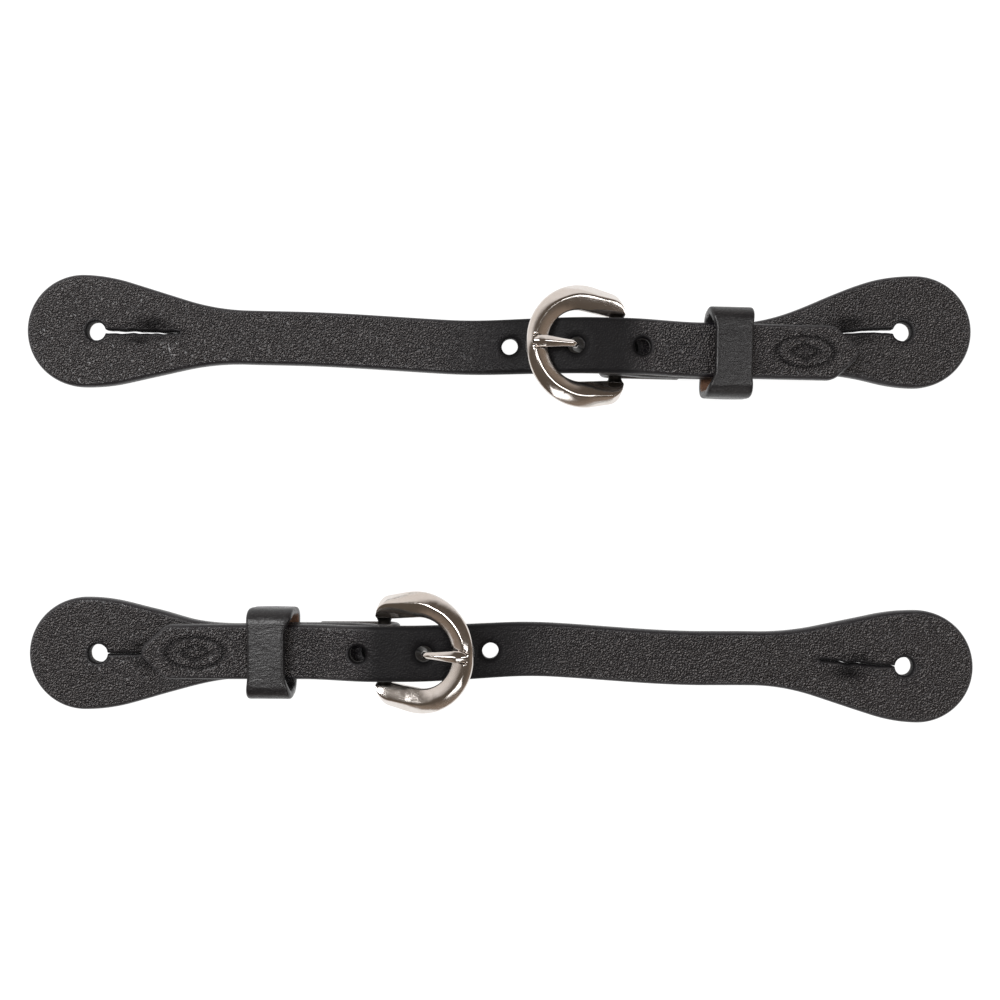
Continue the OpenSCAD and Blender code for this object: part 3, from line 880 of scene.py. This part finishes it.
def eye_rings():
    """The tongue's eye, a flat band wrapped round the heel bar."""
    section = round_corners([
        (EYE_INNER, -EYE_HALF_W, 0.2), (EYE_R, -EYE_HALF_W, 0.45),
        (EYE_R, EYE_HALF_W, 0.45), (EYE_INNER, EYE_HALF_W, 0.2),
    ])
    rings = []
    for a in np.linspace(0, 2 * np.pi, 56, endpoint=False):
        rings.append(np.stack([section[:, 0] * math.cos(a), section[:, 1],
                               BAR_Z + section[:, 0] * math.sin(a)], 1))
    return rings


def make_tongue(side, material):
    arm, arm_faces = loft(tongue_rings())
    eye, eye_faces = loft(eye_rings(), closed=True)
    points, faces = join_meshes([(arm, outward(arm, arm_faces)), (eye, outward(eye, eye_faces))])
    # painted shade: the prong is coloured dark below the billet, fading out just above its top,
    # as if in the shade of its hole
    deep = 1 - s_curve(points[:, 2], BILLET_HIGH + 1.2, BILLET_HIGH + LEATHER_T + 0.6)
    new_piece(side, "_buckle_prong", "_tongue", "_buckle_tongue",
              points, faces, material, {"deep": deep}, SHARP_METAL)


# ---- keeper
KEEPER_CORNER_R = 2.9


def keeper_path(count):
    """Mid line of the loop in (y, z), from the seam round to the seam."""
    w, h, r = KEEPER["w"] + KEEPER["t"], KEEPER["h"] + KEEPER["t"], KEEPER_CORNER_R
    low = -h / 2
    line = np.vstack([
        [[0.08, low]],
        arc(w / 2 - r, low + r, r, 270, 360, 14),
        arc(w / 2 - r, h / 2 - r, r, 0, 90, 14),
        arc(-w / 2 + r, h / 2 - r, r, 90, 180, 14),
        arc(-w / 2 + r, low + r, r, 180, 270, 14),
        [[-0.08, low]],
    ])
    return resample_open(line, count)


def keeper_section(half, t):
    """Section of the strip in (along the straps, out of the loop)."""
    spans = np.linspace(-1, 1, 15)
    outer = [(s * (half - 0.75), t) for s in spans]
    inner = [(s * (half - 0.9), -t) for s in spans[::-1]]
    edge = [
        (half - 0.3, t - 0.1), (half - 0.06, t - 0.38), (half, t - 0.85),
        (half - 0.02, -t + 0.6), (half - 0.12, -t + 0.22), (half - 0.45, -t),
    ]
    return np.array(outer + edge + inner + [(-x, y) for x, y in edge[::-1]])


def keeper_ends(y, z, near_side):
    """How far the strip reaches towards the buckle and away from it: it flares at its bends."""
    bend = float(s_curve(abs(y), 6.0, 11.8)) if z > 0 else 1.0
    low = float(1 - s_curve(z, -5.0, 2.0))
    left = 4.55 + bend * (1.5 + 0.45 * near_side) + low * (0.6 * near_side - 0.5)
    right = 6.05 + 0.45 * bend - 0.3 * low
    return left, right


KEEPER_CROWN = 0.14
KEEPER_LIFT = 0.16
KEEPER_BUMP, KEEPER_BUMP_LONG = 0.05, 5


def make_keeper(side, material):
    data = SIDES[side]
    path = keeper_path(170)
    d = np.gradient(path, axis=0)
    d /= np.linalg.norm(d, axis=1)[:, None]
    half, t = KEEPER["length"] / 2 - 0.25, KEEPER["t"] / 2
    section = keeper_section(half, t)
    u, out = section[:, 0], section[:, 1]
    middle = KEEPER["x"] + KEEPER["length"] / 2
    rings, edge, inner = [], [], []
    for (y, z), (dy, dz) in zip(path, d):
        ny, nz = dz, -dy
        near_side = float(1 - s_curve(y, -11.0, 11.0))
        left, right = keeper_ends(y, z, near_side)
        long = np.where(u < 0, u * left, u * right) / half
        crown = np.where(out > 0, KEEPER_CROWN * (1 - (u / half) ** 2), 0)
        lift = KEEPER_LIFT * (u / half) ** 2
        off = out + crown + lift * (1 if z > 0 else 0)
        r = KEEPER_BUMP_LONG
        bumps = noise_at((a / r, y / r, z / r + data["seed"]) for a in long)
        off = off + KEEPER_BUMP * bumps * (out > 0)
        zz = np.maximum(z + nz * off + KEEPER["t"] + KEEPER["h"] / 2, 0.0)
        rings.append(np.stack([middle + long, data["keeper_y"] + y + ny * off, zz], 1))
        edge.append(np.clip(half - np.abs(u), 0, 6))
        # the inside shows the brown flesh side fully on the low-y side and fades to the dark
        # grain tone towards the high-y side, as painted shade
        inner.append((out < -t + 0.3) * (0.25 + 0.75 * near_side))
    points, faces = loft(rings)
    pad = len(points) - len(rings) * len(section)
    edge = np.r_[np.concatenate(edge), np.zeros(pad)]
    inner = np.r_[np.concatenate(inner), np.full(pad, 0.5)]
    faces = outward(points, faces)
    values = {"edge": edge, "under": inner, "grain": np.full(len(points), 0.08)}
    new_piece(side, "_keeper_leather", "_keeper", "_keeper_loop",
              points, faces, material, values, SHARP_METAL)


# ---- materials
STRAP_TONE = (0.0115, 0.0105, 0.0130)
STRAP_BACK = (0.05, 0.038, 0.03)
KEEPER_TONE = (0.0080, 0.0074, 0.0086)
KEEPER_BACK = (0.20, 0.095, 0.050)
GRAIN_PAINTED_HIGHLIGHT = (0.25, 0.235, 0.235)
NICKEL_TONE = (0.72, 0.68, 0.65)
NICKEL_WORN = (0.86, 0.82, 0.76)
NICKEL_PAINTED_SHADE = (0.02, 0.018, 0.016)
WIRE_TONE = (0.55, 0.54, 0.53)
THREAD_TONES = ((0.012, 0.011, 0.010), (0.06, 0.054, 0.05))
PAPER_TONES = ((0.14, 0.14, 0.14), (0.15, 0.15, 0.15))
PAPER_GLOW = 0.97


def scaled(tone, amount):
    return tuple(c * amount for c in tone)


class Nodes:
    """Short calls to build a node tree."""

    def __init__(self, name):
        self.material = bpy.data.materials.new(name)
        self.material.use_nodes = True
        self.tree = self.material.node_tree
        self.tree.nodes.clear()
        self.out = self.new("OutputMaterial")
        self.shader = self.new("BsdfPrincipled")
        self.link(self.shader.outputs["BSDF"], self.out.inputs["Surface"])

    def new(self, kind):
        return self.tree.nodes.new("ShaderNode" + kind)

    def link(self, a, b):
        self.tree.links.new(a, b)

    def put(self, value, socket):
        if isinstance(value, bpy.types.NodeSocket):
            self.link(value, socket)
        else:
            socket.default_value = value

    def coords(self, scale=(1, 1, 1)):
        texture = self.new("TexCoord")
        mapping = self.new("Mapping")
        mapping.inputs["Scale"].default_value = scale
        self.link(texture.outputs["Object"], mapping.inputs["Vector"])
        return mapping.outputs["Vector"]

    def noise(self, vector, scale, detail=3.0, rough=0.5, distortion=0.0):
        node = self.new("TexNoise")
        self.link(vector, node.inputs["Vector"])
        node.inputs["Scale"].default_value = scale
        node.inputs["Detail"].default_value = detail
        node.inputs["Roughness"].default_value = rough
        node.inputs["Distortion"].default_value = distortion
        return node.outputs["Fac"]

    def cells(self, vector, scale, feature="SMOOTH_F1"):
        node = self.new("TexVoronoi")
        node.feature = feature
        self.link(vector, node.inputs["Vector"])
        node.inputs["Scale"].default_value = scale
        if feature == "SMOOTH_F1":
            node.inputs["Smoothness"].default_value = 0.35
        return node.outputs["Distance"]

    def attribute(self, name):
        node = self.new("Attribute")
        node.attribute_name = name
        return node.outputs["Fac"]

    def math(self, kind, a, b=0.0, clamp=False):
        node = self.new("Math")
        node.operation = kind
        node.use_clamp = clamp
        self.put(a, node.inputs[0])
        self.put(b, node.inputs[1])
        return node.outputs[0]

    def times(self, a, b):
        return self.math("MULTIPLY", a, b)

    def span(self, value, a, b, low=0.0, high=1.0):
        node = self.new("MapRange")
        node.interpolation_type = "SMOOTHSTEP"
        self.put(value, node.inputs["Value"])
        node.inputs["From Min"].default_value = a
        node.inputs["From Max"].default_value = b
        node.inputs["To Min"].default_value = low
        node.inputs["To Max"].default_value = high
        return node.outputs["Result"]

    def mix(self, factor, a, b):
        node = self.new("Mix")
        node.data_type = "RGBA"
        self.put(factor, node.inputs[0])
        self.put(a if isinstance(a, bpy.types.NodeSocket) else (*a, 1), node.inputs[6])
        self.put(b if isinstance(b, bpy.types.NodeSocket) else (*b, 1), node.inputs[7])
        return node.outputs[2]

    def warp(self, vector, scale, amount):
        """Moves coordinates by a noise."""
        noise_node = self.new("TexNoise")
        self.link(vector, noise_node.inputs["Vector"])
        noise_node.inputs["Scale"].default_value = scale
        step = self.new("VectorMath")
        step.operation = "SCALE"
        self.link(noise_node.outputs["Color"], step.inputs[0])
        step.inputs["Scale"].default_value = amount
        total = self.new("VectorMath")
        self.link(vector, total.inputs[0])
        self.link(step.outputs[0], total.inputs[1])
        return total.outputs[0]

    def shift(self, vector, amount):
        node = self.new("VectorMath")
        self.link(vector, node.inputs[0])
        node.inputs[1].default_value = amount
        return node.outputs[0]

    def bump(self, height, strength, distance, below=None):
        node = self.new("Bump")
        self.put(strength, node.inputs["Strength"])
        node.inputs["Distance"].default_value = distance
        self.link(height, node.inputs["Height"])
        if below is not None:
            self.link(below, node.inputs["Normal"])
        return node.outputs["Normal"]

    def set(self, **values):
        names = {"color": "Base Color", "rough": "Roughness", "metal": "Metallic",
                 "normal": "Normal", "specular": "Specular IOR Level", "sheen": "Sheen Weight",
                 "emit": "Emission Color", "emit_power": "Emission Strength",
                 "sheen_rough": "Sheen Roughness"}
        for key, value in values.items():
            if key in ("color", "emit") and isinstance(value, tuple) and len(value) == 3:
                value = (*value, 1)
            self.put(value, self.shader.inputs[names[key]])
        return self.material


def leather(name, tone, back, rough, grain_size, grain_bump):
    """Black pebbled leather: cells for the grain, burnished edges and a raw underside. Each cell
    gets a painted highlight on one flank and painted shade on the other, from its distance to a
    slightly shifted copy; painted shade is also laid where the leather lies in shade."""
    n = Nodes(name)
    v = n.coords()
    edge, under, grain = n.attribute("edge"), n.attribute("under"), n.attribute("grain")
    warped = n.warp(v, 1100, 0.0004)
    cells = n.cells(warped, 1 / grain_size)
    beside = n.cells(n.shift(warped, (-0.00010, 0.00017, 0)), 1 / grain_size)
    patch = n.span(n.noise(v, scale=55, detail=4, rough=0.55), 0.32, 0.7)
    painted_glint = n.span(n.noise(v, scale=2600, detail=2, rough=0.6), 0.30, 0.62)
    crease = n.noise(n.coords((1, 2.5, 1)), scale=240, detail=4, rough=0.6, distortion=1.2)
    crease = n.span(crease, 0.35, 0.75)
    burnish = n.span(edge, 0.5, 1.7)
    on_face = n.times(burnish, n.math("SUBTRACT", 1, under))
    grainy = n.times(on_face, grain)
    # painted highlight on one flank of each pebble, on some pebbles only, and painted shade on
    # the other flank
    lit = n.span(n.math("SUBTRACT", beside, cells), 0.03, 0.26)
    painted_flank_shade = n.span(n.math("SUBTRACT", cells, beside), 0.02, 0.3)
    lit = n.times(n.times(lit, painted_glint), grainy)
    color = n.mix(n.times(painted_flank_shade, grainy), tone, scaled(tone, 0.3))
    color = n.mix(lit, color, GRAIN_PAINTED_HIGHLIGHT)
    # painted shade: darkens the leather where it lies in shade
    painted_shade = n.attribute("painted_shade")
    color = n.mix(n.times(painted_shade, 0.85), color, scaled(tone, 0.15))
    raw = n.mix(n.noise(v, scale=1600, detail=5, rough=0.75), scaled(back, 0.55), back)
    color = n.mix(n.span(under, 0.5, 0.9), color, raw)
    shine = n.math("ADD", n.times(patch, 0.08), rough - 0.04)
    shine = n.math("ADD", shine, n.times(painted_flank_shade, 0.15))
    shine = n.math("ADD", shine, n.times(painted_shade, 0.25))
    shine = n.math("ADD", shine, n.times(under, 0.35), clamp=True)
    normal = n.bump(crease, strength=0.3, distance=0.00018)
    pores = n.noise(v, scale=5200, detail=2, rough=0.6)
    normal = n.bump(pores, strength=0.2, distance=0.00003, below=normal)
    pebble = n.span(cells, 0.05, 0.8, 1, 0)
    pebbled = n.times(grainy, grain_bump)
    normal = n.bump(pebble, strength=pebbled, distance=0.0005, below=normal)
    fuzz = n.noise(v, scale=2600, detail=5, rough=0.8)
    fuzzy = n.times(under, 0.9)
    normal = n.bump(fuzz, strength=fuzzy, distance=0.0003, below=normal)
    gloss = n.math("SUBTRACT", 0.5, n.times(painted_shade, 0.38))
    return n.set(color=color, rough=shine, normal=normal, specular=gloss,
                 sheen=n.times(under, 0.25), sheen_rough=0.5)


def nickel(name, tone, rough):
    """Nickel plate: cloudy worn patches, fine streaks, small pits and painted shade on the parts
    that lie under the leather.
    """
    n = Nodes(name)
    v = n.coords()
    cloud = n.span(n.noise(v, scale=130, detail=4, rough=0.6), 0.35, 0.72)
    streak = n.noise(n.coords((1, 6, 1)), scale=700, detail=4, rough=0.7)
    pits = n.span(n.cells(n.warp(v, 500, 0.001), 1500, "F1"), 0.0, 0.18, 1, 0)
    worn = tuple(c * k for c, k in zip(tone, NICKEL_WORN))
    color = n.mix(n.times(cloud, 0.5), tone, worn)
    # painted shade: the parts marked deep are coloured dark, as if in shade
    deep = n.attribute("deep")
    color = n.mix(deep, color, NICKEL_PAINTED_SHADE)
    shine = n.math("ADD", n.times(cloud, 0.08), rough)
    shine = n.math("ADD", shine, n.times(n.span(streak, 0.4, 0.8), 0.06))
    shine = n.math("ADD", shine, n.times(deep, 0.3), clamp=True)
    normal = n.bump(n.noise(v, scale=260), strength=0.2, distance=0.0002)
    normal = n.bump(streak, strength=0.06, distance=0.00004, below=normal)
    normal = n.bump(pits, strength=0.12, distance=0.00002, below=normal)
    return n.set(color=color, rough=shine, metal=1.0, normal=normal)


def thread_material():
    n = Nodes("waxed_thread")
    twist = n.new("TexWave")
    n.link(n.coords(), twist.inputs["Vector"])
    twist.bands_direction = "DIAGONAL"
    twist.inputs["Scale"].default_value = 900
    twist.inputs["Distortion"].default_value = 1.5
    normal = n.bump(twist.outputs["Fac"], strength=0.6, distance=0.0001)
    return n.set(color=n.mix(twist.outputs["Fac"], *THREAD_TONES), rough=0.55, normal=normal)


# centre and half size of the painted shadow on the floor under each buckle
SHADE_CENTRE = (-11.0, 2.0, 0.0)
SHADE_HALF = (0.008, 0.0055)


def shade_patch(n, side):
    """A painted shadow on the floor where a strap rises to its buckle, so that its tongue hole
    shows shade.
    """
    centre = to_world(side, [SHADE_CENTRE])[0]
    node = n.new("Mapping")
    scale = (1 / SHADE_HALF[0], 1 / SHADE_HALF[1], 0)
    node.inputs["Scale"].default_value = scale
    node.inputs["Location"].default_value = (-centre[0] * scale[0], -centre[1] * scale[1], 0)
    n.link(n.coords(), node.inputs["Vector"])
    length = n.new("VectorMath")
    length.operation = "LENGTH"
    n.link(node.outputs["Vector"], length.inputs[0])
    return n.span(length.outputs["Value"], 0.6, 1.0, 0, 1)


def floor_material():
    """White paper that glows evenly, with a painted shadow under each buckle as seen from
    straight above.
    """
    n = Nodes("paper_floor")
    color = n.mix(n.noise(n.coords(), scale=30, detail=2), *PAPER_TONES)
    apart = n.times(shade_patch(n, "left"), shade_patch(n, "right"))
    open_sky = n.new("AmbientOcclusion")
    open_sky.inputs["Distance"].default_value = 0.05
    # painted shadow: inside the patches the glow drops where ambient occlusion is low
    lit = n.math("MAXIMUM", apart, n.span(open_sky.outputs["AO"], 0.45, 0.85))
    seen = n.new("LightPath").outputs["Is Camera Ray"]
    split = n.new("SeparateXYZ")
    n.link(n.new("NewGeometry").outputs["Incoming"], split.inputs[0])
    aslant = n.times(seen, n.span(split.outputs["Z"], 0.94, 0.975, 1, 0))
    lit = n.math("MAXIMUM", lit, aslant)
    return n.set(color=color, rough=0.7, specular=0.2, emit=(1, 1, 1),
                 emit_power=n.times(lit, PAPER_GLOW))


# ---- build
def build_pair():
    strap = leather("strap_leather", STRAP_TONE, STRAP_BACK, rough=0.31, grain_size=0.00050,
                    grain_bump=1.0)
    band = leather("keeper_leather", KEEPER_TONE, KEEPER_BACK, rough=0.36, grain_size=0.00060,
                   grain_bump=0.6)
    metal = nickel("nickel_plate", NICKEL_TONE, rough=0.11)
    wire = nickel("staple_wire", WIRE_TONE, rough=0.25)
    thread = thread_material()
    for side in SIDES:
        make_billet(side, strap)
        make_chape(side, strap)
        make_frame(side, metal)
        make_tongue(side, metal)
        make_keeper(side, band)
        for node, material in (("_chape_stitching", thread), ("_keeper_staples", wire)):
            mesh = frame["nodes"][side + node].data
            mesh.materials.clear()
            mesh.materials.append(material)


# name, place in m, size in m, power in W; all aim at the origin
SOFTBOXES = [
    ("left_softbox", (-0.52, 0.18, 0.95), (0.25, 0.6), 7.5),
    ("right_softbox", (0.62, 0.0, 0.95), (0.25, 0.8), 4),
    ("front_softbox", (0.15, -0.8, 0.5), (0.5, 0.25), 0.8),
    ("top_softbox", (-0.28, -0.16, 1.0), (0.12, 0.12), 0.5),
]
# the floor is off centre, so that the diagonal of its quad stays away from the straps
FLOOR_NEAR, FLOOR_FAR = -40.0, 60.0
FLOOR_Z = -0.00006


def area_light(name, place, size, power):
    light = bpy.data.lights.new(name, "AREA")
    light.shape = "RECTANGLE"
    light.size, light.size_y = size
    light.energy = power
    obj = bpy.data.objects.new(name, light)
    obj.location = place
    obj.rotation_euler = (Vector() - Vector(place)).to_track_quat("-Z", "Y").to_euler()
    bpy.context.scene.collection.objects.link(obj)


def build_floor():
    near, far, z = FLOOR_NEAR, FLOOR_FAR, FLOOR_Z
    mesh = bpy.data.meshes.new("floor")
    mesh.from_pydata([(near, near, z), (far, near, z), (far, -near, z), (near, -near, z)],
                     [], [(0, 1, 2, 3)])
    mesh.materials.append(floor_material())
    floor = bpy.data.objects.new("floor", mesh)
    bpy.context.scene.collection.objects.link(floor)


def build_studio():
    build_floor()
    build_world()
    for softbox in SOFTBOXES:
        area_light(*softbox)


CEILING = (0.11, 0.088, 0.070)
FRONT_WALL = (0.27, 0.21, 0.165)
SIDE_WALL = (0.85, 0.80, 0.77)
BACK_WALL = (0.95, 0.90, 0.87)
BACKDROP = (0.93, 0.91, 0.90)
TOWARDS_BACK = (-0.5, 1, 0)


def build_world():
    """A dark ceiling over bright walls, brighter and higher at the back. The camera itself sees
    a plain pale backdrop."""
    world = bpy.data.worlds.new("studio")
    world.use_nodes = True
    bpy.context.scene.world = world
    nodes, links = world.node_tree.nodes, world.node_tree.links

    def span(value, low, high):
        node = nodes.new("ShaderNodeMapRange")
        node.interpolation_type = "SMOOTHSTEP"
        node.inputs["From Min"].default_value = low
        node.inputs["From Max"].default_value = high
        links.new(value, node.inputs["Value"])
        return node.outputs["Result"]

    def mix(factor, a, b):
        node = nodes.new("ShaderNodeMix")
        node.data_type = "RGBA"
        for socket, value in ((node.inputs[6], a), (node.inputs[7], b)):
            if isinstance(value, tuple):
                socket.default_value = (*value, 1)
            else:
                links.new(value, socket)
        links.new(factor, node.inputs[0])
        return node.outputs[2]

    coords = nodes.new("ShaderNodeTexCoord")
    split = nodes.new("ShaderNodeSeparateXYZ")
    links.new(coords.outputs["Generated"], split.inputs[0])
    toward = nodes.new("ShaderNodeVectorMath")
    toward.operation = "DOT_PRODUCT"
    toward.inputs[1].default_value = TOWARDS_BACK
    links.new(coords.outputs["Generated"], toward.inputs[0])
    back_side, z = toward.outputs["Value"], split.outputs["Z"]
    wall = mix(span(back_side, 0.1, 0.6), FRONT_WALL, SIDE_WALL)
    low = mix(span(z, 0.16, 0.42), wall, CEILING)
    back = mix(span(z, 0.36, 0.56), BACK_WALL, CEILING)
    room = mix(span(back_side, 0.45, 0.75), low, back)
    seen = nodes.new("ShaderNodeLightPath").outputs["Is Camera Ray"]
    links.new(mix(seen, room, BACKDROP), nodes["Background"].inputs["Color"])


CAMERA_HEIGHT = 0.255
CAMERA_LENS = 30.6
CAMERA_SENSOR = 36


def build_camera():
    """Looks straight down."""
    camera = bpy.data.cameras.new("camera")
    camera.sensor_width = CAMERA_SENSOR
    camera.lens = CAMERA_LENS
    camera.clip_start = 0.01
    obj = bpy.data.objects.new("camera", camera)
    obj.location = (0, 0, CAMERA_HEIGHT)
    bpy.context.scene.collection.objects.link(obj)
    bpy.context.scene.camera = obj


build_pair()
build_studio()
build_camera()
bpy.context.scene.view_settings.view_transform = "Standard"
